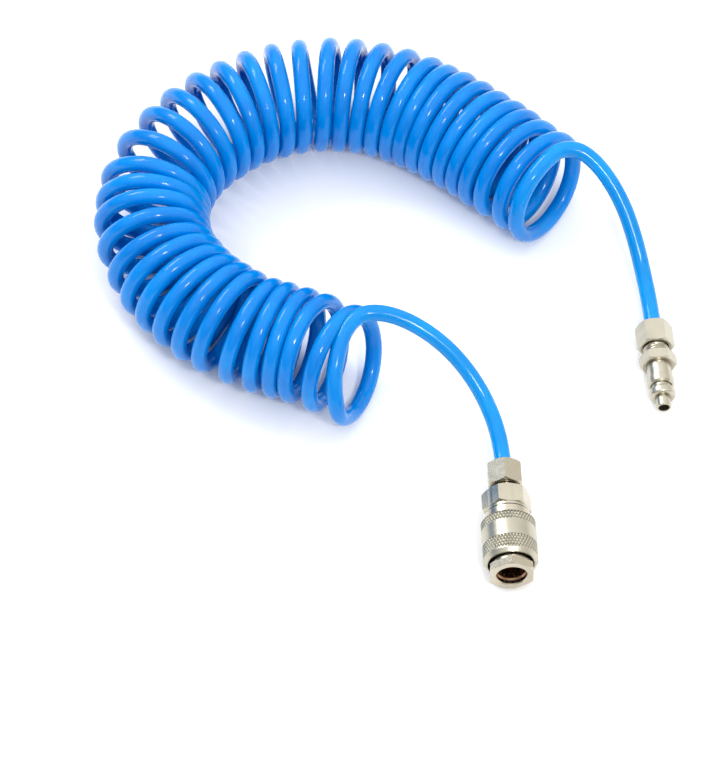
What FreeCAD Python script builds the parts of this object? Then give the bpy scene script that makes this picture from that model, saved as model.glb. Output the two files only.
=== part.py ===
import FreeCAD, Part

import math
import os
import re

import Sketcher

from FreeCAD import Placement, Rotation, Vector

# Coiled polyurethane air hose with a quick-release socket on one end and its plug on the other.
# Millimetres. +Z is up and the floor is z = 0. The socket lies along +Y with its mouth towards -Y.
# The origin is on the floor, in the middle of the box round the two fittings.
# A fitting is drawn standing on its open end: its axis is local +Z, and a station is the height
# above that end.

# Driving dimensions: the cells of the sheet.
SIZES = {
    # hose
    "hose_radius": 4.0,
    "coil_radius": 24.6,            # of the hose's centre line in a turn
    # places of the fittings
    "socket_x": -37.8,
    "socket_mouth_y": -73.9,
    "plug_x": 42.6,
    "plug_tip_y": 23.8,
    "plug_turn": 1.98,              # degrees between the plug's axis and the socket's
    # clearances
    "running_gap": 0.05,            # between a sliding piece and its guide
    "cam_gap": 0.07,                # between a locking ball and the sleeve's cone
    "stop_gap": 0.10,               # between the sleeve's cone and the collar that stops it
    "thread_gap": 0.05,
    "seat_gap": 0.10,
    # socket: nose, bore and locking balls
    "nose_step": 0.3,               # from the collar's diameter to the hexagon's flats
    "nose_hex_length": 4.3,
    "collar_height": 0.7,           # above the body
    "bore_radius": 6.75,            # behind the throat
    "throat_step": 0.2,             # from the throat out to the bore behind it
    "mouth_depth": 0.5,
    "entry_step": 0.7,              # from the throat out to the lead-in behind the mouth
    "entry_end": 2.4,
    "ball_radius": 1.985,
    "ball_lip_catch": 0.185,        # how much narrower than a ball the lip of its hole is
    "ball_lift": 1.2,
    "ball_station": 11.8,
    # socket: sleeve and its spring
    "sleeve_wall": 2.19,            # round the barrel
    "sleeve_front": 6.5,
    "sleeve_length": 23.4,
    "sleeve_travel": 4.2,
    "sleeve_bevel": 1.3,
    "land_length": 2.0,
    "sleeve_spring_length": 10.6,
    "sleeve_spring_wire": 0.5,
    "sleeve_spring_turns": 5.5,
    # socket: barrel, seal and valve
    "barrel_step": 1.6,             # from the body out to the barrel
    "barrel_rear": 34.4,
    "bore_depth": 18.2,
    "lip_length": 1.0,
    "lip_gap": 0.6,                 # round a plug's tip
    "packing_length": 2.6,
    "packing_squeeze": 0.15,        # of the packing on a plug's tip
    "chamber_step": 1.25,           # from the bore out to the valve's chamber
    "valve_head_gap": 0.7,
    "valve_stem_radius": 2.6,
    "valve_air_radius": 1.5,
    "valve_travel": 3.0,
    "oring_radius": 0.8,
    "oring_gap": 0.05,
    "valve_spring_wire": 0.35,
    "valve_spring_turns": 5.5,
    # socket: adapter and nut
    "adapter_flats": 21.0,
    "adapter_turn": 10.0,           # degrees that the hexagon is turned from a level top face
    "adapter_hex_start": 36.5,
    "adapter_hex_length": 10.5,
    "adapter_spigot_length": 5.8,
    "gasket_length": 0.8,
    "thread_radius": 5.9,
    "thread_end": 56.0,
    "nut_flats": 16.0,
    "nut_length": 12.8,
    "socket_nut_start": 50.8,
    # hose barb, the same on both fittings
    "barb_length": 7.5,
    "barb_root_radius": 2.3,
    "barb_crest_radius": 2.75,
    "air_radius": 1.75,
    # plug
    "tip_radius": 3.6,
    "tip_bore_radius": 2.75,
    "tip_length": 5.7,
    "flange_gap": 0.15,             # round the locking flange in the socket's throat
    "flange_length": 4.9,
    "groove_depth": 1.65,
    "groove_length": 2.0,
    "groove_bevel": 0.9,
    "plug_collar_length": 3.1,
    "cylinder_radius": 5.95,
    "cylinder_end": 24.7,
    "plug_flats": 16.0,
    "plug_hex_length": 5.8,
    "plug_thread_end": 42.5,
    "plug_nut_start": 35.5,
}

# Sizes worked out from the cells.
FORMULAS = {
    "throat_radius": "bore_radius - throat_step",
    "entry_radius": "throat_radius + entry_step",
    "mouth_radius": "entry_radius + mouth_depth",
    "ball_lip_radius": "ball_radius - ball_lip_catch",
    "cam_ratio": "ball_lift / sleeve_travel",
    "throat_start": "entry_end + entry_radius - throat_radius",
    "throat_end": "ball_station - ball_radius - 0.2",
    "ball_seat": "bore_radius + sqrt(ball_radius^2 - ball_lip_radius^2) + 0.02",
    "cam_end": "ball_station + ball_radius / 2",
    "land_radius": "ball_seat + ball_radius * sqrt(1 + cam_ratio^2) + cam_gap"
                   " - cam_ratio * ball_radius / 2",
    "body_radius": "land_radius - running_gap",
    "collar_radius": "body_radius + collar_height",
    "nose_flats": "2 * collar_radius + nose_step",
    "barrel_radius": "body_radius + barrel_step",
    "collar_end": "cam_end - (collar_radius + stop_gap - land_radius) / cam_ratio",
    "cam_mouth_radius": "land_radius + cam_ratio * (cam_end - sleeve_front)",
    "land_end": "cam_end + land_length",
    "barrel_front": "land_end + sleeve_spring_length",
    "sleeve_rear": "sleeve_front + sleeve_length",
    "sleeve_bore": "barrel_radius + running_gap",
    "sleeve_radius": "sleeve_bore + sleeve_wall",
    "sleeve_spring_radius": "(body_radius + sleeve_bore) / 2",
    "lip_radius": "tip_radius + lip_gap",
    "packing_bore_radius": "tip_radius - packing_squeeze",
    "chamber_radius": "bore_radius + chamber_step",
    "valve_head_radius": "chamber_radius - valve_head_gap",
    "packing_start": "bore_depth + lip_length",
    "packing_end": "packing_start + packing_length",
    "packing_radius": "bore_radius - seat_gap",
    "seat_end": "packing_end + seat_gap + chamber_radius - bore_radius",
    "valve_face": "packing_end + 0.4",
    "oring_front": "valve_face + 0.45",
    "oring_station": "oring_front + oring_radius",
    "oring_centre_radius": "bore_radius + oring_station - packing_end - seat_gap"
                           " - (oring_radius + oring_gap) * sqrt(2)",
    "oring_floor": "oring_centre_radius - oring_radius",
    "valve_head_start": "oring_front + 2 * oring_radius",
    "valve_head_end": "valve_head_start + 1.2",
    "spigot_radius": "chamber_radius - thread_gap",
    "spigot_front": "barrel_rear - adapter_spigot_length",
    "gasket_end": "barrel_rear + gasket_length",
    "guide_start": "valve_head_end + 2.6 * valve_travel",
    "guide_radius": "valve_stem_radius + running_gap",
    "stem_end": "guide_start + 2.5",
    "guide_end": "stem_end + valve_travel + 0.5",
    "valve_spring_radius": "valve_stem_radius + 1.0",
    "spring_pocket_radius": "valve_spring_radius + 1.3",
    "adapter_hex_end": "adapter_hex_start + adapter_hex_length",
    "nut_bore_radius": "hose_radius + 0.12",
    "socket_nut_end": "socket_nut_start + nut_length",
    "flange_radius": "throat_radius - flange_gap",
    "groove_radius": "flange_radius - groove_depth",
    "flange_end": "tip_length + flange_length",
    "groove_end": "flange_end + groove_length",
    "plug_collar_start": "groove_end + groove_bevel",
    "plug_collar_end": "plug_collar_start + plug_collar_length",
    "plug_hex_end": "cylinder_end + plug_hex_length",
    "plug_nut_end": "plug_nut_start + nut_length",
    "plug_height": "plug_flats / 2",
}

BALLS = 6
SPRING_SIDES = 6
SPRING_STEPS = 18  # per turn

# The coil's centre line on the floor plan, from the socket's end: where it starts, the way it
# heads, and for each stretch its length and the angle that it turns.
COIL_START = (-102.0, 37.3)
COIL_HEADING = 144.2
COIL_STRETCHES = [
    (48.0, 16.0),
    (63.0, -37.8),
    (77.0, -69.2),
    (135.7, -84.3),
    (44.5, -12.3),
    (41.0, 0.0),
]

# The hose between each fitting and the coil, as the corners of its route.
SOCKET_LEAD = [
    (-37.8, -18.8, 13.25),
    (-37.8, -0.8, 13.25),
    (-41.7, 16.7, 19.0),
    (-49.7, 30.7, 29.0),
    (-61.7, 42.2, 40.0),
    (-76.7, 50.7, 48.5),
    (-93.7, 54.7, 52.8),
    (-111.2, 54.2, 52.0),
]
PLUG_LEAD = [
    (41.1, 66.8, 8.0),
    (40.5, 84.2, 8.0),
    (37.8, 101.2, 14.0),
    (34.3, 116.7, 25.0),
    (28.8, 129.2, 36.5),
    (19.3, 140.2, 46.5),
    (6.3, 148.2, 52.5),
    (-9.7, 153.2, 54.5),
]

doc = FreeCAD.newDocument("coiled_air_hose")
sheet = doc.addObject("Spreadsheet::Sheet", "Sizes")
derived = doc.addObject("App::VarSet", "Derived")
parts = []


def full(text):
    """An expression with each size's name led by the object that holds it."""
    def lead(match):
        name = match.group(0)
        if name in SIZES:
            return "Sizes." + name
        if name in FORMULAS:
            return "Derived." + name
        return name
    return re.sub(r"[a-z]\w*", lead, str(text))


def value(text):
    return float(sheet.evalExpression(full(text)))


def fill_sheet():
    for row, (name, number) in enumerate(SIZES.items(), start=1):
        sheet.set("A%d" % row, name)
        sheet.set("B%d" % row, str(number))
        sheet.setAlias("B%d" % row, name)
    doc.recompute()
    for name, formula in FORMULAS.items():
        derived.addProperty("App::PropertyFloat", name)
        derived.setExpression(name, full(formula))
        doc.recompute()


def new_body(label):
    body = doc.addObject("PartDesign::Body", label)
    body.Label = label
    parts.append(body)
    return body


def origin_feature(body, role):
    return next(o for o in body.Origin.OriginFeatures if o.Role == role)


def new_sketch(body, name, role):
    sketch = body.newObject("Sketcher::SketchObject", name)
    sketch.AttachmentSupport = [(origin_feature(body, role), "")]
    sketch.MapMode = "FlatFace"
    return sketch


def draw_profile(body, name, points, station="0"):
    """A closed outline in the body's XZ plane, each corner an (x, z) pair of expressions."""
    sketch = new_sketch(body, name, "XZ_Plane")
    sketch.setExpression(".AttachmentOffset.Base.y", full(station))
    corners = [Vector(value(r), value(s), 0) for r, s in points]
    count = len(corners)
    for i in range(count):
        sketch.addGeometry(Part.LineSegment(corners[i], corners[(i + 1) % count]), False)
    for i in range(count):
        sketch.addConstraint(Sketcher.Constraint("Coincident", i, 2, (i + 1) % count, 1))
    for i, (r, s) in enumerate(points):
        bind_distance(sketch, "DistanceX", i, corners[i].x, r, -2)
        bind_distance(sketch, "DistanceY", i, corners[i].y, s, -1)
    return sketch


def bind_distance(sketch, kind, line, number, expression, axis):
    """Ties a line's start to the origin by an expression, or to the axis if the expression is 0."""
    if str(expression) == "0":
        sketch.addConstraint(Sketcher.Constraint("PointOnObject", line, 1, axis))
        return
    index = sketch.addConstraint(Sketcher.Constraint(kind, -1, 1, line, 1, number))
    sketch.setExpression("Constraints[%d]" % index, full(expression))


def revolve(body, name, points):
    feature = body.newObject("PartDesign::Revolution", name)
    feature.Profile = draw_profile(body, name + "_profile", points)
    feature.ReferenceAxis = (feature.Profile[0], ["V_Axis"])
    feature.Angle = 360
    doc.recompute()
    return feature


def groove(body, name, points, axis="V_Axis", station="0"):
    """Cuts the body with an outline turned about the body's axis, or about its own horizontal axis."""
    feature = body.newObject("PartDesign::Groove", name)
    feature.Profile = draw_profile(body, name + "_profile", points, station)
    feature.ReferenceAxis = (feature.Profile[0], [axis])
    feature.Angle = 360
    before = body.Shape.Volume
    doc.recompute()
    require(body.Shape.Volume < before, name + " cuts nothing")
    return feature


def pad_hexagon(body, name, flats, start, length, turn="0"):
    """A hexagonal prism from a station, with its first corner turned from local X."""
    sketch = new_sketch(body, name + "_profile", "XY_Plane")
    sketch.setExpression(".AttachmentOffset.Base.z", full(start))
    radius = value(flats) / math.sqrt(3)
    angles = [math.radians(value(turn) + 60 * i) for i in range(6)]
    corners = [Vector(radius * math.cos(a), radius * math.sin(a), 0) for a in angles]
    for i in range(6):
        sketch.addGeometry(Part.LineSegment(corners[i], corners[(i + 1) % 6]), False)
    circle = sketch.addGeometry(Part.Circle(Vector(), Vector(0, 0, 1), radius), True)
    spoke = sketch.addGeometry(Part.LineSegment(Vector(), corners[0]), True)
    sketch.addConstraint(Sketcher.Constraint("Coincident", circle, 3, -1, 1))
    size = sketch.addConstraint(Sketcher.Constraint("Radius", circle, radius))
    sketch.setExpression("Constraints[%d]" % size, full("(%s) / sqrt(3)" % flats))
    for i in range(6):
        sketch.addConstraint(Sketcher.Constraint("Coincident", i, 2, (i + 1) % 6, 1))
        sketch.addConstraint(Sketcher.Constraint("PointOnObject", i, 1, circle))
    for i in range(5):
        sketch.addConstraint(Sketcher.Constraint("Equal", i, i + 1))
    sketch.addConstraint(Sketcher.Constraint("Coincident", spoke, 1, -1, 1))
    sketch.addConstraint(Sketcher.Constraint("Coincident", spoke, 2, 0, 1))
    if turn == "0":
        sketch.addConstraint(Sketcher.Constraint("Horizontal", spoke))
    else:
        bearing = sketch.addConstraint(
            Sketcher.Constraint("Angle", spoke, math.radians(value(turn))))
        sketch.setExpression("Constraints[%d]" % bearing, "(%s) * 1 deg" % full(turn))
    pad = body.newObject("PartDesign::Pad", name)
    pad.Profile = sketch
    pad.setExpression("Length", full(length))
    doc.recompute()
    return pad


def bevel_hexagon(body, name, flats, start, end, inner=0.485):
    """Turns the corners of a hexagon off at 30 degrees, from a radius that is a share of its flats."""
    outer = 0.6
    drop = "(%s) * %.5f" % (flats, (outer - inner) * math.tan(math.radians(30)))
    inside = "(%s) * %s" % (flats, inner)
    outside = "(%s) * %s" % (flats, outer)
    groove(body, name + "_front", [
        (inside, start), (outside, start), (outside, "%s + %s" % (start, drop))])
    groove(body, name + "_rear", [
        (inside, end), (outside, end), (outside, "%s - %s" % (end, drop))])


def round_circles(body, name, radius, stations, size):
    """Rounds the circular edges that have the given radius and lie at the given stations."""
    base = body.Tip
    heights = [value(station) for station in stations]
    chosen = []
    for i, edge in enumerate(base.Shape.Edges, start=1):
        curve = edge.Curve
        if not isinstance(curve, Part.Circle) or abs(curve.Radius - value(radius)) > 1e-4:
            continue
        if min(abs(curve.Center.z - height) for height in heights) < 1e-4:
            chosen.append("Edge%d" % i)
    fillet = body.newObject("PartDesign::Fillet", name)
    fillet.Base = (base, chosen)
    fillet.setExpression("Radius", full(size))
    doc.recompute()
    return fillet


def require(condition, message):
    if not condition:
        raise RuntimeError(message)


def stand_on_socket_axis(obj):
    """Lays a piece drawn along local +Z on the socket's axis, pointing from its mouth to the hose."""
    obj.Placement = Placement(Vector(), Rotation(Vector(1, 0, 0), -90))
    obj.setExpression(".Placement.Base.x", full("socket_x"))
    obj.setExpression(".Placement.Base.y", full("socket_mouth_y"))
    obj.setExpression(".Placement.Base.z", full("sleeve_radius"))


def stand_on_plug_axis(obj):
    upright = Rotation(Vector(1, 0, 0), -90)
    turned = Rotation(Vector(0, 0, 1), value("plug_turn"))
    obj.Placement = Placement(Vector(), turned.multiply(upright))
    obj.setExpression(".Placement.Base.x", full("plug_x"))
    obj.setExpression(".Placement.Base.y", full("plug_tip_y"))
    obj.setExpression(".Placement.Base.z", full("plug_height"))


# Socket


def make_socket_body():
    """Hexagonal nose, stop collar, ball cage, barrel, and the seat of the valve inside."""
    body = new_body("socket_body")
    revolve(body, "turned_body", [
        ("mouth_radius", "0"),
        ("collar_radius", "0"),
        ("collar_radius", "collar_end"),
        ("body_radius", "collar_end"),
        ("body_radius", "barrel_front"),
        ("barrel_radius", "barrel_front"),
        ("barrel_radius", "barrel_rear"),
        ("chamber_radius", "barrel_rear"),
        ("chamber_radius", "seat_end"),
        ("bore_radius", "packing_end + seat_gap"),
        ("bore_radius", "packing_start"),
        ("lip_radius", "packing_start"),
        ("lip_radius", "bore_depth"),
        ("bore_radius", "bore_depth"),
        ("bore_radius", "throat_end"),
        ("throat_radius", "throat_end"),
        ("throat_radius", "throat_start"),
        ("entry_radius", "entry_end"),
        ("entry_radius", "mouth_depth"),
    ])
    make_nose(body)
    cage = cut_ball_seat(body)
    pattern = body.newObject("PartDesign::PolarPattern", "ball_seats")
    pattern.Originals = [cage]
    pattern.Axis = (origin_feature(body, "Z_Axis"), [""])
    pattern.Angle = 360
    pattern.Occurrences = BALLS
    body.Tip = pattern
    before = body.Shape.Volume
    doc.recompute()
    require(body.Shape.Volume < before, "the ball seats are not repeated")
    stand_on_socket_axis(body)


def make_nose(body):
    """The hexagon that a spanner holds, drilled again for the mouth, with a corner up."""
    pad_hexagon(body, "nose_hexagon", "nose_flats", "0", "nose_hex_length", "30")
    groove(body, "nose_mouth", [
        ("0", "0"),
        ("mouth_radius", "0"),
        ("entry_radius", "mouth_depth"),
        ("entry_radius", "entry_end"),
        ("throat_radius", "throat_start"),
        ("throat_radius", "nose_hex_length + 1"),
        ("0", "nose_hex_length + 1"),
    ])
    bevel_hexagon(body, "nose_bevel", "nose_flats", "0", "nose_hex_length", inner=0.53)


def cut_ball_seat(body):
    """A radial hole that narrows to a lip, so that its ball reaches the bore but can't fall in."""
    return groove(body, "ball_seat_cut", [
        ("bore_radius - 1", "0"),
        ("bore_radius - 1", "ball_lip_radius"),
        ("bore_radius", "ball_lip_radius"),
        ("ball_seat - ball_radius * 0.15", "ball_radius + running_gap"),
        ("collar_radius + 1", "ball_radius + running_gap"),
        ("collar_radius + 1", "0"),
    ], axis="H_Axis", station="ball_station")


def make_sleeve():
    """Release sleeve: a long inner cone over the balls, a land that locks them, a spring pocket."""
    body = new_body("socket_sleeve")
    revolve(body, "turned_sleeve", [
        ("cam_mouth_radius + 0.35", "sleeve_front"),
        ("sleeve_radius - sleeve_bevel", "sleeve_front"),
        ("sleeve_radius", "sleeve_front + sleeve_bevel * 1.4"),
        ("sleeve_radius", "sleeve_rear - 0.5"),
        ("sleeve_radius - 0.5", "sleeve_rear"),
        ("sleeve_bore + 0.3", "sleeve_rear"),
        ("sleeve_bore", "sleeve_rear - 0.3"),
        ("sleeve_bore", "land_end"),
        ("land_radius", "land_end"),
        ("land_radius", "cam_end"),
        ("cam_mouth_radius - cam_ratio * 0.5", "sleeve_front + 0.5"),
    ])
    stand_on_socket_axis(body)


def make_balls():
    for i in range(BALLS):
        angle = "%d deg" % (i * 360 // BALLS)
        ball = doc.addObject("Part::Sphere", "locking_ball_%d" % (i + 1))
        ball.Label = "locking_ball_%d" % (i + 1)
        ball.setExpression("Radius", full("ball_radius"))
        ball.setExpression(".Placement.Base.x", full("socket_x + ball_seat * cos(%s)" % angle))
        ball.setExpression(".Placement.Base.y", full("socket_mouth_y + ball_station"))
        ball.setExpression(".Placement.Base.z", full("sleeve_radius + ball_seat * sin(%s)" % angle))
        parts.append(ball)


def triangle(*corners):
    return Part.Face(Part.makePolygon(list(corners) + [corners[0]]))


def make_spring(label, radius, wire, turns, start, length):
    """A compression spring between two stations on the socket's axis, as a faceted wire."""
    reach = value(length) - 2 * value(wire) - 2 * value("running_gap")
    first = value(start) + value(wire) + value("running_gap")
    lead = math.atan2(reach, 2 * math.pi * value(radius) * value(turns))
    steps = int(math.ceil(value(turns) * SPRING_STEPS))
    rings = []
    for step in range(steps + 1):
        share = step / steps
        turned = 2 * math.pi * value(turns) * share
        outward = Vector(math.cos(turned), math.sin(turned), 0)
        across = Vector(math.sin(turned) * math.sin(lead), -math.cos(turned) * math.sin(lead),
                        math.cos(lead))
        centre = outward * value(radius) + Vector(0, 0, first + reach * share)
        corners = [2 * math.pi * side / SPRING_SIDES for side in range(SPRING_SIDES)]
        rings.append([
            centre + (outward * math.cos(corner) + across * math.sin(corner)) * value(wire)
            for corner in corners
        ])
    faces = [triangle(rings[0][0], rings[0][k + 1], rings[0][k]) for k in range(1, SPRING_SIDES - 1)]
    faces += [triangle(rings[-1][0], rings[-1][k], rings[-1][k + 1])
              for k in range(1, SPRING_SIDES - 1)]
    for near, far in zip(rings, rings[1:]):
        for k in range(SPRING_SIDES):
            after = (k + 1) % SPRING_SIDES
            faces.append(triangle(near[k], near[after], far[k]))
            faces.append(triangle(near[after], far[after], far[k]))
    shape = Part.Solid(Part.Shell(faces))
    if shape.Volume < 0:
        shape.reverse()
    spring = doc.addObject("Part::Feature", label)
    spring.Label = label
    spring.Shape = shape
    stand_on_socket_axis(spring)
    parts.append(spring)


def make_packing():
    """Rubber ring that seals on the tip of a plug, flared towards the mouth."""
    body = new_body("plug_packing")
    revolve(body, "moulded_packing", [
        ("packing_bore_radius + 0.7", "packing_start + seat_gap"),
        ("packing_radius", "packing_start + seat_gap"),
        ("packing_radius", "packing_end"),
        ("packing_bore_radius + 0.4", "packing_end"),
        ("packing_bore_radius", "packing_end - 0.6"),
        ("packing_bore_radius", "packing_start + 1.0"),
    ])
    stand_on_socket_axis(body)


def make_valve():
    """Poppet that a plug's tip pushes back: a head with a ring groove, and a hollow ported stem."""
    body = new_body("valve")
    revolve(body, "turned_valve", [
        ("0", "valve_face"),
        ("valve_stem_radius + 0.7", "valve_face"),
        ("oring_floor + 0.45", "oring_front - 0.25"),
        ("oring_floor + 0.45", "oring_front"),
        ("oring_floor", "oring_front"),
        ("oring_floor", "valve_head_start"),
        ("valve_head_radius", "valve_head_start"),
        ("valve_head_radius", "valve_head_end"),
        ("valve_stem_radius", "valve_head_end"),
        ("valve_stem_radius", "stem_end"),
        ("valve_air_radius", "stem_end"),
        ("valve_air_radius", "valve_head_end + 0.6"),
        ("0", "valve_head_end + 0.6"),
    ])
    sketch = new_sketch(body, "port_circle", "XZ_Plane")
    sketch.addGeometry(Part.Circle(Vector(0, value("valve_head_end + 2"), 0), Vector(0, 0, 1), 0.9))
    radius = sketch.addConstraint(Sketcher.Constraint("Radius", 0, 0.9))
    sketch.setExpression("Constraints[%d]" % radius, full("valve_air_radius * 0.6"))
    sketch.addConstraint(Sketcher.Constraint("PointOnObject", 0, 3, -2))
    height = sketch.addConstraint(
        Sketcher.Constraint("DistanceY", -1, 1, 0, 3, value("valve_head_end + 2")))
    sketch.setExpression("Constraints[%d]" % height, full("valve_head_end + 2"))
    ports = body.newObject("PartDesign::Pocket", "ports")
    ports.Profile = sketch
    ports.Type = "ThroughAll"
    ports.Midplane = True
    before = body.Shape.Volume
    doc.recompute()
    require(body.Shape.Volume < before, "the ports cut nothing")
    stand_on_socket_axis(body)


def make_oring():
    ring = doc.addObject("Part::Torus", "valve_oring")
    ring.Label = "valve_oring"
    ring.setExpression("Radius1", full("oring_centre_radius"))
    ring.setExpression("Radius2", full("oring_radius"))
    ring.Placement = Placement(Vector(), Rotation(Vector(1, 0, 0), -90))
    ring.setExpression(".Placement.Base.x", full("socket_x"))
    ring.setExpression(".Placement.Base.y", full("socket_mouth_y + oring_station"))
    ring.setExpression(".Placement.Base.z", full("sleeve_radius"))
    parts.append(ring)


def make_gasket():
    body = new_body("adapter_gasket")
    revolve(body, "flat_gasket", [
        ("spigot_radius + seat_gap", "barrel_rear"),
        ("barrel_radius - 0.5", "barrel_rear"),
        ("barrel_radius - 0.5", "gasket_end"),
        ("spigot_radius + seat_gap", "gasket_end"),
    ])
    stand_on_socket_axis(body)


def barb_outline(start, thread_end):
    """The end of a fitting inside its nut: a cone under the hose's end, then three barbs."""
    tooth = "barb_length / 3"
    points = [
        ("thread_radius", "%s - 0.8" % thread_end),
        ("thread_radius - 0.8", thread_end),
        ("barb_root_radius + 0.5", thread_end),
        ("barb_root_radius", "%s + 0.5" % thread_end),
    ]
    for i in range(3):
        points.append(("barb_crest_radius", "%s + %d * %s + 0.5" % (thread_end, i, tooth)))
        points.append(("barb_root_radius", "%s + %d * %s" % (thread_end, i + 1, tooth)))
    points.append(("air_radius", "%s + barb_length" % thread_end))
    return [start] + points


def make_adapter():
    """Screws into the body's rear, guides the valve's stem, and carries the hose barb."""
    body = new_body("socket_adapter")
    front = [
        ("spring_pocket_radius", "spigot_front"),
        ("spigot_radius - 0.5", "spigot_front"),
        ("spigot_radius", "spigot_front + 0.5"),
        ("spigot_radius", "gasket_end"),
        ("barrel_radius - 0.4", "gasket_end"),
        ("barrel_radius - 0.4", "adapter_hex_end"),
        ("thread_radius - 0.7", "adapter_hex_end"),
        ("thread_radius - 0.7", "adapter_hex_end + 0.8"),
    ]
    rear = barb_outline(("thread_radius", "adapter_hex_end + 1.5"), "thread_end")
    inside = [
        ("air_radius", "guide_end"),
        ("guide_radius", "guide_end"),
        ("guide_radius", "guide_start"),
        ("spring_pocket_radius", "guide_start"),
    ]
    revolve(body, "turned_adapter", front + rear + inside)
    pad_hexagon(body, "adapter_hexagon", "adapter_flats", "adapter_hex_start", "adapter_hex_length",
                "adapter_turn")
    groove(body, "adapter_air_way", [
        ("0", "adapter_hex_start - 1"),
        ("guide_radius", "adapter_hex_start - 1"),
        ("guide_radius", "guide_end"),
        ("air_radius", "guide_end"),
        ("air_radius", "adapter_hex_end + 1"),
        ("0", "adapter_hex_end + 1"),
    ])
    bevel_hexagon(body, "adapter_bevel", "adapter_flats", "adapter_hex_start", "adapter_hex_end")
    stand_on_socket_axis(body)


def make_nut(label, start, end, thread_end, turn, place):
    """Union nut: threaded over the fitting, with a cone that closes on the hose."""
    body = new_body(label)
    bore = "thread_radius + thread_gap"
    revolve(body, "turned_nut", [
        ("%s + 0.5" % bore, start),
        ("nut_flats / 2", start),
        ("nut_flats / 2", end),
        ("nut_bore_radius + 0.4", end),
        ("nut_bore_radius", "%s - 0.4" % end),
        ("nut_bore_radius", "%s + 2.6" % thread_end),
        (bore, "%s + 0.8" % thread_end),
        (bore, "%s + 0.5" % start),
    ])
    pad_hexagon(body, "nut_hexagon", "nut_flats", start, "%s - (%s)" % (end, start), turn)
    groove(body, "nut_way", [
        ("0", "%s" % start),
        ("%s + 0.5" % bore, start),
        (bore, "%s + 0.5" % start),
        (bore, "%s + 0.8" % thread_end),
        ("nut_bore_radius", "%s + 2.6" % thread_end),
        ("nut_bore_radius", "%s - 0.4" % end),
        ("nut_bore_radius + 0.4", end),
        ("0", end),
    ])
    bevel_hexagon(body, "nut_bevel", "nut_flats", start, end)
    place(body)


# Plug


def make_plug_body():
    """Tip, locking flange, ball groove and cylinder that go into a socket, then hexagon and barb."""
    body = new_body("plug_body")
    front = [
        ("tip_bore_radius", "0"),
        ("tip_radius - 0.35", "0"),
        ("tip_radius", "0.35"),
        ("tip_radius", "tip_length"),
        ("flange_radius", "tip_length"),
        ("flange_radius", "flange_end"),
        ("groove_radius", "flange_end"),
        ("groove_radius", "groove_end"),
        ("flange_radius - groove_bevel", "groove_end"),
        ("flange_radius", "plug_collar_start"),
        ("flange_radius", "plug_collar_end"),
        ("cylinder_radius", "plug_collar_end + flange_radius - cylinder_radius"),
        ("cylinder_radius", "plug_hex_end"),
        ("thread_radius - 0.7", "plug_hex_end"),
        ("thread_radius - 0.7", "plug_hex_end + 0.8"),
    ]
    rear = barb_outline(("thread_radius", "plug_hex_end + 1.5"), "plug_thread_end")
    inside = [
        ("air_radius", "plug_hex_end"),
        ("tip_bore_radius", "plug_hex_end - 2"),
    ]
    revolve(body, "turned_plug", front + rear + inside)
    pad_hexagon(body, "plug_hexagon", "plug_flats", "cylinder_end", "plug_hex_length")
    groove(body, "plug_air_way", [
        ("0", "cylinder_end - 1"),
        ("tip_bore_radius", "cylinder_end - 1"),
        ("tip_bore_radius", "plug_hex_end - 2"),
        ("air_radius", "plug_hex_end"),
        ("air_radius", "plug_hex_end + 1"),
        ("0", "plug_hex_end + 1"),
    ])
    bevel_hexagon(body, "plug_bevel", "plug_flats", "cylinder_end", "plug_hex_end")
    round_circles(body, "rounded_flange", "flange_radius", ["tip_length", "flange_end"],
                  "min(flange_length * 0.36; (flange_radius - groove_radius) * 0.95)")
    stand_on_plug_axis(body)


# Hose


def sweep_round(path, radius, start, along):
    """A solid of round section along a wire, checked against section times length."""
    section = Part.Wire(Part.makeCircle(radius, start, along))
    solid = path.makePipeShell([section], True, False)
    expected = math.pi * radius ** 2 * path.Length
    require(abs(solid.Volume - expected) < 0.01 * expected, "a swept tube has the wrong volume")
    return solid


def rounded_route(label, corners):
    """Straight runs joined by tangent arcs, each as large as the shorter of its two runs allows."""
    points = [Vector(*c) for c in corners]
    edges = []
    last = points[0]
    for before, corner, after in zip(points, points[1:], points[2:]):
        into = corner.sub(before)
        out = after.sub(corner)
        turn = into.getAngle(out)
        setback = 0.45 * min(into.Length, out.Length)
        into.normalize()
        out.normalize()
        arc_start = corner.sub(into * setback)
        arc_end = corner.add(out * setback)
        radius = setback / math.tan(turn / 2)
        print("%s: arc of radius %.1f mm, turning %.1f degrees" % (label, radius, math.degrees(turn)))
        bisector = out.sub(into).normalize()
        middle = corner.add(bisector * (radius / math.cos(turn / 2) - radius))
        edges.append(Part.LineSegment(last, arc_start).toShape())
        edges.append(Part.Arc(arc_start, middle, arc_end).toShape())
        last = arc_end
    edges.append(Part.LineSegment(last, points[-1]).toShape())
    return Part.Wire(edges)


def make_lead(label, corners):
    path = rounded_route(label, corners)
    start = Vector(*corners[0])
    along = Vector(*corners[1]).sub(start)
    lead = doc.addObject("Part::Feature", label)
    lead.Label = label
    lead.Shape = sweep_round(path, value("hose_radius"), start, along)
    print("%s: %.0f mm long" % (label, path.Length))
    parts.append(lead)


def coil_path(height):
    """The coil's centre line: straight stretches and arcs, each tangent to the one before."""
    place = Vector(COIL_START[0], COIL_START[1], height)
    heading = math.radians(COIL_HEADING)
    edges = []
    for length, turn in COIL_STRETCHES:
        bend = math.radians(turn)
        middle = along_arc(place, heading, length / 2, bend / 2)
        end = along_arc(place, heading, length, bend)
        if turn:
            edges.append(Part.Arc(place, middle, end).toShape())
        else:
            edges.append(Part.LineSegment(place, end).toShape())
        place = end
        heading += bend
    return Part.Wire(edges)


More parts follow.
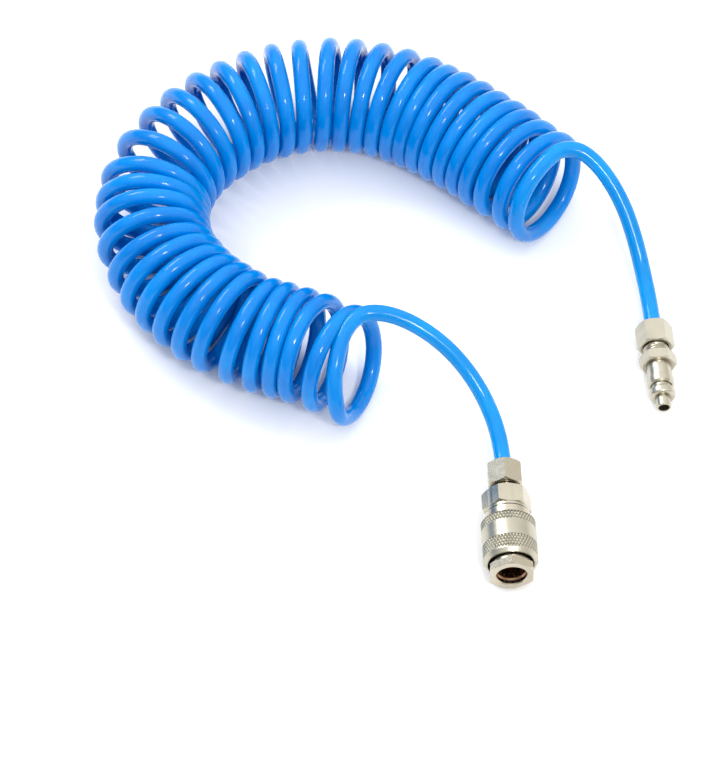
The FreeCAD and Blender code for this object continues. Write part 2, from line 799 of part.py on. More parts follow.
def along_arc(place, heading, length, bend):
    """The point reached from a place by going a length while turning by an angle."""
    chord = length * math.sin(bend / 2) / (bend / 2) if bend else length
    direction = heading + bend / 2
    return place.add(Vector(chord * math.cos(direction), chord * math.sin(direction), 0))


def make_coil():
    """The outer shape of the coil's turns, as one bent round bar that lies on the floor."""
    radius = value("coil_radius + hose_radius")
    path = coil_path(radius)
    heading = math.radians(COIL_HEADING)
    start = Vector(COIL_START[0], COIL_START[1], radius)
    coil = doc.addObject("Part::Feature", "hose_coil")
    coil.Label = "hose_coil"
    coil.Shape = sweep_round(path, radius, start, Vector(math.cos(heading), math.sin(heading), 0))
    parts.append(coil)


def check_document():
    doc.recompute()
    for obj in doc.Objects:
        bad = [state for state in obj.State if state in ("Invalid", "Error")]
        require(not bad, "%s is %s" % (obj.Label, bad))
    for part in parts:
        shape = part.Shape
        require(not shape.isNull() and shape.isValid(), part.Label + " has a bad shape")
        require(len(shape.Solids) == 1, part.Label + " is not one solid")


def export_parts():
    os.makedirs("parts", exist_ok=True)
    for part in parts:
        part.Shape.exportStep("parts/%s.step" % part.Label)
        print("%-18s %9.1f mm3" % (part.Label, part.Shape.Volume))


fill_sheet()
make_socket_body()
make_sleeve()
make_balls()
make_spring("sleeve_spring", "sleeve_spring_radius", "sleeve_spring_wire", "sleeve_spring_turns",
            "land_end", "sleeve_spring_length")
make_packing()
make_valve()
make_oring()
make_spring("valve_spring", "valve_spring_radius", "valve_spring_wire", "valve_spring_turns",
            "valve_head_end", "guide_start - valve_head_end")
make_gasket()
make_adapter()
make_nut("socket_nut", "socket_nut_start", "socket_nut_end", "thread_end", "30",
         stand_on_socket_axis)
make_plug_body()
make_nut("plug_nut", "plug_nut_start", "plug_nut_end", "plug_thread_end", "0", stand_on_plug_axis)
make_lead("hose_lead_socket", SOCKET_LEAD)
make_lead("hose_lead_plug", PLUG_LEAD)
make_coil()
check_document()
export_parts()
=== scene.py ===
import math

import bpy
from mathutils import Matrix, Vector


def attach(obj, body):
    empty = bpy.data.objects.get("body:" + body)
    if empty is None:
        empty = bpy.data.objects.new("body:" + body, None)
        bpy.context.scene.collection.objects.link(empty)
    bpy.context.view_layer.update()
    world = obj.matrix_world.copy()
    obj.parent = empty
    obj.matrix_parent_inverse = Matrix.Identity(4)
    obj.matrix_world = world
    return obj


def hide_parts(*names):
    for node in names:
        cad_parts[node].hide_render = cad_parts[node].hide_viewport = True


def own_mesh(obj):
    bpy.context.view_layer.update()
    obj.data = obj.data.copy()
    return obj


MM = 0.001                  # metres; the sizes below are in millimetres unless they say metres
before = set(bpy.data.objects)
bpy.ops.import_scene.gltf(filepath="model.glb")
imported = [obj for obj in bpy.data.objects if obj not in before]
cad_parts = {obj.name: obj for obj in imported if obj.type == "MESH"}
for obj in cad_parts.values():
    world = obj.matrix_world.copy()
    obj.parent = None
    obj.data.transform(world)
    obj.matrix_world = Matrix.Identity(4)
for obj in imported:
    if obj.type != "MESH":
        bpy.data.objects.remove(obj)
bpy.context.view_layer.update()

# ---------------------------------------------------------------- the hose's route, in millimetres
HOSE_RADIUS = 4.0
COIL_RADIUS = 24.6          # to the hose's own centre
COIL_HEIGHT = 28.8          # of the coil's axis above the floor
COIL_START = (-102.0, 37.3)
COIL_HEADING = 144.2        # degrees from +X
# The stretches of the coil's axis from its socket end: a length, and the degrees that it bends.
COIL_STRETCHES = [(48.0, 16.0), (63.0, -37.8), (77.0, -69.2), (135.7, -84.3), (44.5, -12.3),
                  (41.0, 0.0)]
# The turns, in runs from the socket end: how many, and the gap from each one's top to the next.
TURN_RUNS = [(2, 15.4), (3, 9.5), (1, 12.8), (5, 9.9), (2, 11.8), (2, 9.3), (2, 14.4), (2, 12.6),
             (4, 11.5), (1, 12.9), (4, 11.0), (2, 8.5), (4, 9.3), (1, 10.4), (1, 12.6), (1, 9.4)]
SOCKET_LEAN, PLUG_LEAN = 4.4, 2.7           # how far the end turns tilt along the coil
SOCKET_LEANING, PLUG_LEANING = 6, 3         # over how many turns the tilt fades out
SOCKET_SHIFT, PLUG_SHIFT = 0.5, 1.0         # how far the end turns sit towards the socket
SOCKET_SWAYS, SOCKET_PHASE = 0.95, 0.07     # tilts to a turn, and part of a turn that they lead by
SWELL, SWELL_PACE = 0.006, 2.1              # the turns aren't quite one size
STEPS = 12                  # control points in each turn
FIRST_STEP = 3              # the socket's lead passes into the coil a quarter turn in
SOCKET_LEAD = [
    (-37.8, -18.8, 13.25), (-37.8, -0.8, 13.25), (-41.7, 16.7, 19.0), (-49.7, 30.7, 29.0),
    (-61.7, 42.2, 40.0), (-76.7, 50.7, 48.5), (-91.0, 55.4, 52.8), (-103.0, 55.6, 53.4),
    (-111.2, 48.2, 52.3), (-115.6, 37.0, 49.0), (-118.3, 26.5, 41.5),
]
PLUG_LEAD = [
    (-0.6, 148.8, 54.2), (9.2, 149.2, 53.0), (19.3, 141.8, 47.0), (28.4, 129.2, 37.3),
    (34.1, 115.5, 26.0), (37.8, 101.2, 14.5), (40.4, 84.2, 8.2), (41.1, 66.8, 8.0),
]

# The fittings: a station is measured along a fitting's axis from its open end.
SOCKET_MOUTH = (-37.8, -73.9, 13.25)
PLUG_TIP = (42.6, 23.8, 8.0)
PLUG_TURN = 1.98            # degrees that the plug's axis stands off +Y


def on_coil(distance):
    """The place and heading of the coil's axis at a distance from its socket end."""
    x, y = COIL_START
    heading = math.radians(COIL_HEADING)
    for length, turn in COIL_STRETCHES:
        here = max(min(distance, length), 0.0)
        if (length, turn) == COIL_STRETCHES[-1]:
            here = distance                     # the last stretch runs on as far as it has to
        bend = math.radians(turn) * here / length
        chord = here if abs(bend) < 1e-9 else 2 * math.sin(bend / 2) * here / bend
        x += chord * math.cos(heading + bend / 2)
        y += chord * math.sin(heading + bend / 2)
        heading += bend
        if distance <= length:
            break
        distance -= length
    return x, y, heading


def turn_tops():
    """Distances along the coil's axis of the top of each turn."""
    tops = [0.0]
    for count, gap in TURN_RUNS:
        for _ in range(count):
            tops.append(tops[-1] + gap)
    return tops


TURN_TOPS = turn_tops()
LAST_TURN = len(TURN_TOPS) - 1


def lean(turn):
    """How far the end turns, pulled by the fittings, stand off an even helix along the coil."""
    near_socket = max(1 - turn / SOCKET_LEANING, 0)
    near_plug = min(max((turn - LAST_TURN + 1) / PLUG_LEANING + 1, 0), 1)
    socket_tilt = SOCKET_LEAN * math.cos(2 * math.pi * SOCKET_SWAYS * (turn + SOCKET_PHASE))
    plug_tilt = PLUG_LEAN * math.cos(2 * math.pi * turn)
    return near_socket * (socket_tilt - SOCKET_SHIFT) - near_plug * (plug_tilt + PLUG_SHIFT)


def on_turns(turn):
    """Distance along the coil of a whole or part turn, in a smooth curve through the tops."""
    first = min(max(int(math.floor(turn)), 0), LAST_TURN - 1)
    spots = [TURN_TOPS[min(max(first + k, 0), LAST_TURN)] for k in (-1, 0, 1, 2)]
    t = turn - first
    slope_in = (spots[2] - spots[0]) / 2
    slope_out = (spots[3] - spots[1]) / 2
    even = ((2 * t**3 - 3 * t**2 + 1) * spots[1] + (t**3 - 2 * t**2 + t) * slope_in
            + (3 * t**2 - 2 * t**3) * spots[2] + (t**3 - t**2) * slope_out)
    return even + lean(turn)


def hose_points():
    """Control points of the whole hose: the socket's lead, the coil's helix and the plug's lead."""
    outside = 1 / math.cos(math.pi / STEPS)     # a curve of order 3 runs inside its points
    turns = []
    for step in range(FIRST_STEP, LAST_TURN * STEPS + 1):
        turn = step / STEPS
        x, y, heading = on_coil(on_turns(turn))
        angle = 2 * math.pi * turn
        radius = COIL_RADIUS * (1 + SWELL * math.sin(SWELL_PACE * turn)) * outside
        side = radius * math.sin(angle)
        turns.append((x - side * math.sin(heading), y + side * math.cos(heading),
                      COIL_HEIGHT + radius * math.cos(angle)))
    return SOCKET_LEAD + turns + PLUG_LEAD


# ---------------------------------------------------------------- makers
def add_mesh(name, points, faces, smooth=True, across=None):
    """A mesh from points in metres. across holds a (u, v) for each corner of each face."""
    mesh = bpy.data.meshes.new(name)
    mesh.from_pydata(points, [], faces)
    if across:
        layer = mesh.uv_layers.new(name="UVMap")
        corner = 0
        for face in across:
            for uv in face:
                layer.data[corner].uv = uv
                corner += 1
    mesh.polygons.foreach_set("use_smooth", [smooth] * len(mesh.polygons))
    mesh.update()
    obj = bpy.data.objects.new(name, mesh)
    bpy.context.collection.objects.link(obj)
    return obj


def route_of(name, points, resolution=5):
    """Points of a NURBS curve through the given control points, in metres."""
    curve = bpy.data.curves.new(name, "CURVE")
    curve.dimensions = "3D"
    curve.resolution_u = resolution
    spline = curve.splines.new("NURBS")
    spline.points.add(len(points) - 1)
    for point, at in zip(spline.points, points):
        point.co = (at[0] * MM, at[1] * MM, at[2] * MM, 1)
    spline.order_u = 3
    spline.use_endpoint_u = True
    obj = bpy.data.objects.new(name, curve)
    bpy.context.collection.objects.link(obj)
    bpy.context.view_layer.update()
    line = bpy.data.meshes.new_from_object(obj)
    route = [vertex.co.copy() for vertex in line.vertices]
    bpy.data.objects.remove(obj)
    bpy.data.meshes.remove(line)
    return route


def tube(name, route, radius, sides=24):
    """A closed tube round a route, its u the distance along in metres and its v the way round."""
    points, faces, across = [], [], []
    normal = None
    travelled = [0.0]
    for a, b in zip(route, route[1:]):
        travelled.append(travelled[-1] + (b - a).length)
    for k, at in enumerate(route):
        ahead = (route[min(k + 1, len(route) - 1)] - route[max(k - 1, 0)]).normalized()
        if normal is None:
            normal = ahead.orthogonal().normalized()
            before = ahead
        normal = before.rotation_difference(ahead) @ normal
        normal = (normal - ahead * normal.dot(ahead)).normalized()
        before = ahead
        other = ahead.cross(normal)
        for s in range(sides):
            angle = 2 * math.pi * s / sides
            points.append(at + (normal * math.cos(angle) + other * math.sin(angle)) * radius)
    for k in range(len(route) - 1):
        for s in range(sides):
            t = (s + 1) % sides
            faces.append((k * sides + s, k * sides + t, (k + 1) * sides + t, (k + 1) * sides + s))
            low, high = travelled[k], travelled[k + 1]
            across.append(((low, s / sides), (low, (s + 1) / sides), (high, (s + 1) / sides),
                           (high, s / sides)))
    end = (len(route) - 1) * sides
    faces.append(tuple(reversed(range(sides))))
    faces.append(tuple(end + s for s in range(sides)))
    across.append(((0.0, 0.0),) * sides)
    across.append(((travelled[-1], 0.0),) * sides)
    return add_mesh(name, points, faces, True, across)


def placed(obj, origin, turn=0.0):
    """Lays a piece made standing on +Z along a fitting's axis, +Y."""
    rest = (Matrix.Translation(Vector(origin) * MM) @ Matrix.Rotation(math.radians(turn), 4, "Z")
            @ Matrix.Rotation(math.radians(-90), 4, "X"))
    obj.data.transform(rest)
    return obj


def ring_grid(name, rings, sides, cut_at, deepest):
    """A closed surface of revolution through rings of (station, radius, whether it is cut).

    cut_at gives how deep the surface is cut at an angle and a station. The depth, as a share of
    the deepest, is kept for each point as the attribute "hollow", which the material reads to paint
    shade into the grooves.
    """
    points, faces, hollows = [], [], []
    for station, radius, is_cut in rings:
        for s in range(sides):
            angle = 2 * math.pi * s / sides
            cut = cut_at(angle, station) if is_cut else 0.0
            r = radius - cut
            points.append((r * math.cos(angle) * MM, r * math.sin(angle) * MM, station * MM))
            hollows.append(cut / deepest)
    count = len(rings)
    for k in range(count):
        n = (k + 1) % count
        for s in range(sides):
            t = (s + 1) % sides
            faces.append((k * sides + s, k * sides + t, n * sides + t, n * sides + s))
    obj = add_mesh(name, points, faces, False)
    obj.data.attributes.new("hollow", "FLOAT", "POINT").data.foreach_set("value", hollows)
    return obj


def smooth_by_angle(obj, degrees):
    """Shades a piece smooth, but keeps the creases sharper than an angle."""
    mesh = obj.data
    mesh.polygons.foreach_set("use_smooth", [True] * len(mesh.polygons))
    mesh.set_sharp_from_angle(angle=math.radians(degrees))
    return obj


# ---------------------------------------------------------------- the hose
HOSE_DRAWN = 1.01           # drawn a little wider, since its flat sides lie inside its corners

route = route_of("hose_route", hose_points())
hose = tube("coiled_hose", route, HOSE_DRAWN * HOSE_RADIUS * MM)
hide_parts("hose_coil", "hose_lead_socket", "hose_lead_plug")
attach(hose, "hose_and_fittings")

# ---------------------------------------------------------------- the release sleeve, knurled
SLEEVE_FRONT, SLEEVE_REAR = 6.5, 29.9
SLEEVE_RADIUS, SLEEVE_BORE = 13.25, 11.0585
FRONT_BEVEL, REAR_BEVEL = 1.3, 0.5
BEVEL_SLOPE = 1.4                           # the front bevel's length for each unit of its height
LAND_RADIUS, LAND_END = 9.4585, 14.79       # the land inside that holds the balls in
CAM_MOUTH, CAM_END = 11.26, 12.79           # the cone before it: radius in front, last station
KNURL_BANDS = [(8.9, 16.2), (24.7, 29.4)]   # from and to which station
KNURL_DEPTH = 0.42
KNURL_COUNT = 50                            # grooves round the sleeve, each way
KNURL_ANGLE = 28.0                          # degrees that a groove slants from the axis
KNURL_OPEN = 0.6                            # a groove's width as a share of the pitch
KNURL_EDGE = 0.04                           # from ring to ring at the ends of a band
KNURL_STEP = 0.16                           # from ring to ring inside a band, at least
KNURL_SIDES = 9                             # points round the sleeve for each groove


def knurl(angle, station):
    """How deep the crossing grooves are cut at a point of a knurled band."""
    around = angle * KNURL_COUNT / (2 * math.pi)
    slant = (station * math.tan(math.radians(KNURL_ANGLE)) * KNURL_COUNT
             / (2 * math.pi * SLEEVE_RADIUS))
    left = 1.0
    for phase in (around + slant, around - slant):
        left = min(left, abs(phase - round(phase)) * 2 / KNURL_OPEN)
    return KNURL_DEPTH * (1 - left)


def knurl_rings(low, high):
    """Rings of one band, with plain ones at its ends so that the grooves stop sharp."""
    steps = int((high - low) / KNURL_STEP)
    run = high - low - 4 * KNURL_EDGE
    rings = [(low, SLEEVE_RADIUS, False), (low + KNURL_EDGE, SLEEVE_RADIUS, False)]
    for k in range(steps + 1):
        rings.append((low + 2 * KNURL_EDGE + run * k / steps, SLEEVE_RADIUS, True))
    rings += [(high - KNURL_EDGE, SLEEVE_RADIUS, False), (high, SLEEVE_RADIUS, False)]
    return rings


def sleeve_rings():
    """The sleeve's outline: front and bevel, the knurled bands, rear, bore, land and cone."""
    rings = [(SLEEVE_FRONT, CAM_MOUTH, False), (SLEEVE_FRONT, SLEEVE_RADIUS - FRONT_BEVEL, False),
             (SLEEVE_FRONT + BEVEL_SLOPE * FRONT_BEVEL, SLEEVE_RADIUS, False)]
    for low, high in KNURL_BANDS:
        rings += knurl_rings(low, high)
    rings += [(SLEEVE_REAR, SLEEVE_RADIUS - REAR_BEVEL, False), (SLEEVE_REAR, SLEEVE_BORE, False),
              (LAND_END, SLEEVE_BORE, False), (LAND_END, LAND_RADIUS, False),
              (CAM_END, LAND_RADIUS, False)]
    return rings


sleeve = ring_grid("knurled_sleeve", sleeve_rings(), KNURL_COUNT * KNURL_SIDES, knurl, KNURL_DEPTH)
placed(smooth_by_angle(sleeve, 30), SOCKET_MOUTH)
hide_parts("socket_sleeve")
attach(sleeve, "release_sleeve")


# ---------------------------------------------------------------- the springs
SPRING_TURNS = 5.5
SPRING_STEPS = 26           # points of the wire in each turn
WIRE_SIDES = 10


def spring(name, radius, wire, start, end):
    """A wire spring between two stations; radius is to the wire's centre, and wire its own."""
    climb = end - start - 2 * wire
    centres = []
    for k in range(int(SPRING_TURNS * SPRING_STEPS) + 1):
        turn = k / SPRING_STEPS
        centres.append(Vector((radius * math.cos(2 * math.pi * turn),
                               radius * math.sin(2 * math.pi * turn),
                               start + wire + climb * turn / SPRING_TURNS)) * MM)
    return tube(name, centres, wire * MM, WIRE_SIDES)


sleeve_spring = placed(spring("sleeve_spring_wire", 10.234, 0.5, 14.79, 25.39), SOCKET_MOUTH)
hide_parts("sleeve_spring")
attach(sleeve_spring, "hose_and_fittings")
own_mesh(sleeve_spring)

valve_spring = placed(spring("valve_spring_wire", 3.6, 0.35, 25.45, 33.25), SOCKET_MOUTH)
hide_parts("valve_spring")
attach(valve_spring, "hose_and_fittings")
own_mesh(valve_spring)


# ---------------------------------------------------------------- the threads
THREAD_CREST, THREAD_ROOT = 6.45, 5.85      # radii; the root lies just inside the shank
THREAD_STEPS = 40                           # points of the ridge in each turn
RUN_OUT = 10                                # steps over which a ridge rises at its ends
RIDGE_FOOT, RIDGE_TOP = 0.42, 0.06          # half widths, as shares of the pitch
END_ROOM = 0.25                             # from an end to the ridge's middle, in pitches


def thread(name, start, end, pitch, origin, turn=0.0):
    """A helical ridge on a fitting's shank, running out at both ends."""
    points, faces = [], []
    turns = (end - start - 2 * END_ROOM * pitch) / pitch
    count = int(turns * THREAD_STEPS)
    section = [(-RIDGE_FOOT, THREAD_ROOT), (-RIDGE_TOP, THREAD_CREST), (RIDGE_TOP, THREAD_CREST),
               (RIDGE_FOOT, THREAD_ROOT)]
    for k in range(count + 1):
        angle = 2 * math.pi * k / THREAD_STEPS
        height = min(1.0, k / RUN_OUT, (count - k) / RUN_OUT)
        station = start + END_ROOM * pitch + pitch * k / THREAD_STEPS
        for shift, radius in section:
            r = THREAD_ROOT + (radius - THREAD_ROOT) * height
            points.append((r * math.cos(angle) * MM, r * math.sin(angle) * MM,
                           (station + shift * pitch) * MM))
    for k in range(count):
        for s in range(4):
            t = (s + 1) % 4
            faces.append((k * 4 + s, (k + 1) * 4 + s, (k + 1) * 4 + t, k * 4 + t))
    faces.append((0, 1, 2, 3))
    faces.append((count * 4 + 3, count * 4 + 2, count * 4 + 1, count * 4))
    ridge = add_mesh(name, points, faces, False)
    return placed(smooth_by_angle(ridge, 40), origin, turn)


socket_thread = thread("socket_thread", 47.0, 51.0, 1.25, SOCKET_MOUTH)
plug_thread = thread("plug_thread", 30.5, 35.7, 1.5, PLUG_TIP, PLUG_TURN)
for ridge in (socket_thread, plug_thread):
    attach(ridge, "hose_and_fittings")


# ---------------------------------------------------------------- materials
def colour_mix(tree, share, one, two):
    """A mix of two colours, each of them a tuple or a node's output."""
    node = tree.nodes.new("ShaderNodeMix")
    node.data_type = "RGBA"
    tree.links.new(share, node.inputs["Factor"])
    for value, socket in ((one, node.inputs[6]), (two, node.inputs[7])):
        if isinstance(value, tuple):
            socket.default_value = (*value, 1)
        else:
            tree.links.new(value, socket)
    return node.outputs[2]


class Nodes:
    """A material's node tree, with short makers for what these materials share."""

    def __init__(self, name):
        self.material = bpy.data.materials.new(name)
        self.material.use_nodes = True
        self.tree = self.material.node_tree
        self.shader = self.tree.nodes["Principled BSDF"]
        self.place = self.add("ShaderNodeTexCoord").outputs["Object"]

    def add(self, kind, **values):
        """A new node, with the given properties set."""
        node = self.tree.nodes.new(kind)
        for key, value in values.items():
            setattr(node, key, value)
        return node

    def link(self, a, b):
        self.tree.links.new(a, b)

    def noise(self, scale, detail, stretch=None):
        """Soft noise fixed to the piece, at a scale in waves to the metre."""
        source = self.place
        if stretch:
            mapping = self.add("ShaderNodeMapping")
            mapping.inputs["Scale"].default_value = stretch
            self.link(source, mapping.inputs["Vector"])
            source = mapping.outputs["Vector"]
        node = self.add("ShaderNodeTexNoise")
        node.inputs["Scale"].default_value = scale
        node.inputs["Detail"].default_value = detail
        node.inputs["Roughness"].default_value = 0.55
        self.link(source, node.inputs["Vector"])
        return node.outputs["Fac"]

    def spread(self, value, low, high, to_low, to_high):
        """The range from low to high, laid out over the range from to_low to to_high."""
        node = self.add("ShaderNodeMapRange")
        for key, number in (("From Min", low), ("From Max", high), ("To Min", to_low),
                            ("To Max", to_high)):
            node.inputs[key].default_value = number
        self.link(value, node.inputs["Value"])
        return node.outputs["Result"]

    def mix(self, share, one, two):
        """From colour one to colour two as the share goes from 0 to 1."""
        return colour_mix(self.tree, share, one, two)

    def bump(self, height, strength, distance):
        """A relief of the surface, its depth given in metres."""
        node = self.add("ShaderNodeBump")
        node.inputs["Strength"].default_value = strength
        node.inputs["Distance"].default_value = distance
        self.link(height, node.inputs["Height"])
        self.link(node.outputs["Normal"], self.shader.inputs["Normal"])

    def sheltered(self, distance, low, high):
        """How open a point lies: 1 in the open and 0 deep in a hollow."""
        node = self.add("ShaderNodeAmbientOcclusion", samples=8)
        node.inputs["Distance"].default_value = distance
        return self.spread(node.outputs["AO"], low, high, 0.0, 1.0)


HOLLOW_REACH = 0.0022                       # metres: hollows of this size get painted shade
BORE_EDGE, PLATING_EDGE = 0.0071, 0.0074    # metres from the socket's axis
SCRATCH_DEPTH = 0.00002                     # metres


def from_socket_axis(n):
    """Distance of a point from the socket's axis, which lies along Y."""
    from_mouth = n.add("ShaderNodeVectorMath", operation="SUBTRACT")
    from_mouth.inputs[1].default_value = [c * MM for c in SOCKET_MOUTH]
    n.link(n.place, from_mouth.inputs[0])
    off_axis = n.add("ShaderNodeVectorMath", operation="MULTIPLY")
    off_axis.inputs[1].default_value = (1, 0, 1)
    n.link(from_mouth.outputs["Vector"], off_axis.inputs[0])
    radius = n.add("ShaderNodeVectorMath", operation="LENGTH")
    n.link(off_axis.outputs["Vector"], radius.inputs[0])
    return radius.outputs["Value"]


def metal(name, colour, shade, painted_shade, rough, bore=None, knurled=False):
    """A plated or turned metal: cloudy colour, fine scratches, painted shade in its hollows.

    rough holds its least and its most roughness, and bore is the colour of the unplated bore
    inside the socket's mouth. A knurled piece has painted shade in its grooves too.
    """
    n = Nodes(name)
    n.shader.inputs["Metallic"].default_value = 1.0
    cloud = n.spread(n.noise(110, 2), 0.3, 0.7, 0.0, 1.0)
    # Painted shade: the colour goes darker where ambient occlusion finds a hollow.
    base_with_painted_shade = n.mix(n.sheltered(HOLLOW_REACH, 0.25, 0.8), painted_shade, n.mix(cloud, shade, colour))
    if knurled:
        # Painted shade in the knurl's grooves, darker where a groove is cut deeper.
        groove = n.add("ShaderNodeAttribute", attribute_name="hollow").outputs["Fac"]
        base_with_painted_shade = n.mix(n.spread(groove, 0.2, 1.0, 0.0, 0.55), base_with_painted_shade, painted_shade)
    if bore:
        plated = n.spread(from_socket_axis(n), BORE_EDGE, PLATING_EDGE, 0.0, 1.0)
        base_with_painted_shade = n.mix(plated, bore, base_with_painted_shade)
    n.link(base_with_painted_shade, n.shader.inputs["Base Color"])
    n.link(n.spread(n.noise(420, 3), 0.3, 0.7, rough[0], rough[1]), n.shader.inputs["Roughness"])
    n.bump(n.noise(700, 2, (1.0, 4.0, 1.0)), 0.1, SCRATCH_DEPTH)
    return n.material


def rubber(name, colour, dusty):
    """A matt black rubber, dusty in patches."""
    n = Nodes(name)
    n.link(n.mix(n.spread(n.noise(600, 4), 0.4, 0.7, 0.0, 1.0), colour, dusty),
           n.shader.inputs["Base Color"])
    n.link(n.spread(n.noise(900, 2), 0.3, 0.7, 0.45, 0.65), n.shader.inputs["Roughness"])
    n.bump(n.noise(2500, 2), 0.2, 0.00003)
    return n.material


LEAD_LENGTH, COIL_FROM = 0.10, 0.17         # metres from a hose end: all lead, and all coil
# Painted light: the leads' blues are lighter than the coil's, for the light that passes through the
# leads; the patches between two blues are the hose's own tone.
COIL_SHADED_BLUES = [(0.0, 0.188, 0.592), (0.0, 0.235, 0.672)]     # from patch to patch
LEAD_LIT_BLUES = [(0.0, 0.232, 0.61), (0.0, 0.275, 0.67)]


def hose_material(total):
    """Clear blue polyurethane, lightly scuffed: painted darker in the coil and lighter on the
    leads, as light falls.
    """
    n = Nodes("blue_polyurethane")
    along = n.add("ShaderNodeSeparateXYZ")
    uv = n.add("ShaderNodeUVMap", uv_map="UVMap")
    n.link(uv.outputs["UV"], along.inputs["Vector"])
    near_socket = n.spread(along.outputs["X"], LEAD_LENGTH, COIL_FROM, 1.0, 0.0)
    near_plug = n.spread(along.outputs["X"], total - COIL_FROM, total - LEAD_LENGTH, 0.0, 1.0)
    lead = n.add("ShaderNodeMath", operation="MAXIMUM")
    n.link(near_socket, lead.inputs[0])
    n.link(near_plug, lead.inputs[1])
    patch = n.spread(n.noise(45, 3), 0.35, 0.65, 0.0, 1.0)
    # Painted shade in the coil, painted light on the leads.
    blue = n.mix(lead.outputs["Value"], n.mix(patch, *COIL_SHADED_BLUES), n.mix(patch, *LEAD_LIT_BLUES))
    n.link(blue, n.shader.inputs["Base Color"])
    n.link(n.spread(n.noise(260, 4), 0.35, 0.7, 0.07, 0.15), n.shader.inputs["Roughness"])
    n.shader.inputs["Specular IOR Level"].default_value = 0.27
    n.shader.inputs["Subsurface Weight"].default_value = 0.6
    n.shader.inputs["Subsurface Scale"].default_value = 0.004
    n.shader.inputs["Subsurface Radius"].default_value = (0.15, 0.6, 1.0)
    n.bump(n.noise(700, 3), 0.08, 0.00004)
    return n.material


def paint(obj, material):
    obj.data.materials.clear()
    obj.data.materials.append(material)


hose_length = sum((b - a).length for a, b in zip(route, route[1:]))
paint(hose, hose_material(hose_length))
# The third colour given to each metal is its painted shade in hollows.
plate = metal("nickel_plate", (0.53, 0.50, 0.405), (0.47, 0.44, 0.355), (0.13, 0.11, 0.085),
              (0.26, 0.38))
nose = metal("nickel_plate_nose", (0.55, 0.50, 0.405), (0.50, 0.455, 0.365), (0.12, 0.09, 0.07),
             (0.22, 0.29), bore=(0.30, 0.17, 0.095))
dull = metal("nickel_plate_dull", (0.54, 0.50, 0.40), (0.49, 0.455, 0.36), (0.12, 0.10, 0.08),
             (0.23, 0.29))
grip = metal("nickel_plate_knurled", (0.50, 0.475, 0.385), (0.45, 0.43, 0.345), (0.09, 0.08, 0.06),
             (0.30, 0.42), knurled=True)
bright = metal("polished_steel", (0.86, 0.84, 0.80), (0.80, 0.78, 0.73), (0.3, 0.27, 0.22),
               (0.06, 0.14))
wire = metal("spring_wire", (0.62, 0.61, 0.60), (0.5, 0.49, 0.47), (0.2, 0.18, 0.15), (0.2, 0.34))
brass = metal("turned_brass", (0.80, 0.56, 0.26), (0.68, 0.45, 0.19), (0.26, 0.15, 0.06),
              (0.16, 0.28))
black = rubber("black_rubber", (0.018, 0.018, 0.019), (0.05, 0.048, 0.045))
paint(sleeve, grip)
for piece in (socket_thread, plug_thread):
    paint(piece, plate)
for piece in (sleeve_spring, valve_spring):
    paint(piece, wire)

NODE_LOOKS = {"socket_body": nose, "socket_adapter": dull, "socket_nut": dull, "valve": brass,
              "plug_packing": black, "valve_oring": black, "adapter_gasket": black}
for name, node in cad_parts.items():
    if name.startswith("locking_ball"):
        paint(node, bright)
    elif not name.startswith("hose"):
        paint(node, NODE_LOOKS.get(name, plate))

# ---------------------------------------------------------------- floor, lights, camera
FAR = 6.0                   # metres from the middle of the floor to its sides
floor = add_mesh("floor", [(-FAR, -FAR, 0), (FAR, -FAR, 0), (FAR, FAR, 0), (-FAR, FAR, 0)],
                 [(0, 1, 2, 3)], False)
floor_look = Nodes("pale_floor")
floor_look.link(floor_look.mix(floor_look.noise(3, 2), (0.93, 0.93, 0.93), (0.95, 0.95, 0.95)),
                floor_look.shader.inputs["Base Color"])
floor_look.shader.inputs["Roughness"].default_value = 0.7
floor_look.shader.inputs["Specular IOR Level"].default_value = 0.2
paint(floor, floor_look.material)

world = bpy.data.worlds.new("studio")
world.use_nodes = True
sky = world.node_tree
ways = sky.nodes.new("ShaderNodeSeparateXYZ")
sky.links.new(sky.nodes.new("ShaderNodeTexCoord").outputs["Generated"], ways.inputs["Vector"])


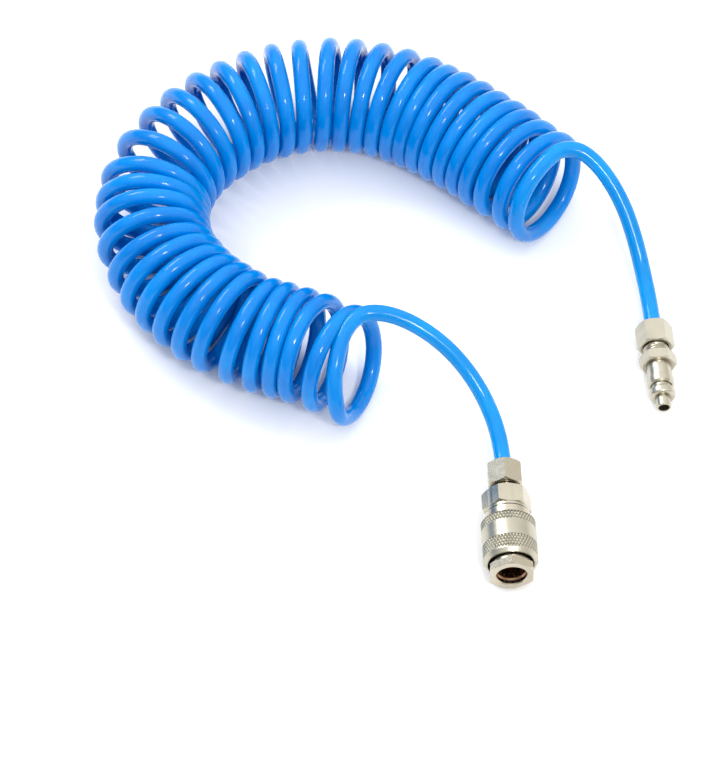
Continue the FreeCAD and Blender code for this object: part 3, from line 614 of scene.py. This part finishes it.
def sky_share(way, low, high):
    """From 0 to 1 as a direction's part along an axis goes from low to high."""
    share = sky.nodes.new("ShaderNodeMapRange")
    share.interpolation_type = "SMOOTHSTEP"
    share.inputs["From Min"].default_value = low
    share.inputs["From Max"].default_value = high
    sky.links.new(ways.outputs[way], share.inputs["Value"])
    return share.outputs["Result"]


# A studio that is darker on the left and in front, so that the metal has something to reflect.
LEFT_WALL, RIGHT_WALL = (0.20, 0.25, 0.32), (0.66, 0.64, 0.60)
FRONT_WALL, CEILING = (0.34, 0.32, 0.29), (1.0, 1.0, 1.0)
side_walls = colour_mix(sky, sky_share("X", -0.7, 0.5), LEFT_WALL, RIGHT_WALL)
walls = colour_mix(sky, sky_share("Y", -0.9, -0.3), FRONT_WALL, side_walls)
dome = colour_mix(sky, sky_share("Z", 0.25, 0.9), walls, CEILING)
sky.links.new(dome, sky.nodes["Background"].inputs["Color"])
sky.nodes["Background"].inputs["Strength"].default_value = 1.5
bpy.context.scene.world = world
bpy.context.scene.view_settings.view_transform = "Standard"


def aimed(obj, place, target):
    """Puts a lamp or the camera at a place, looking at a target."""
    obj.location = place
    obj.rotation_mode = "QUATERNION"
    obj.rotation_quaternion = (Vector(target) - Vector(place)).to_track_quat("-Z", "Y")
    bpy.context.collection.objects.link(obj)


def area_light(name, place, target, size, power):
    data = bpy.data.lights.new(name, "AREA")
    data.shape = "RECTANGLE"
    data.size, data.size_y = size
    data.energy = power
    aimed(bpy.data.objects.new(name, data), place, target)


MIDDLE = (-0.1, 0.05, 0.02)
area_light("key", (0.35, -1.25, 1.75), MIDDLE, (0.32, 0.32), 15)
area_light("rim", (-0.9, 1.0, 1.3), MIDDLE, (0.9, 0.5), 12)

CAMERA_PLACE, CAMERA_TARGET = (-0.2045, -1.9537, 2.867), (-0.10273, 0.05118, 0.0)
camera_data = bpy.data.cameras.new("camera")
camera_data.sensor_fit = "HORIZONTAL"
camera_data.sensor_width = 36
camera_data.lens = 354.7
camera = bpy.data.objects.new("camera", camera_data)
aimed(camera, CAMERA_PLACE, CAMERA_TARGET)
bpy.context.scene.camera = camera
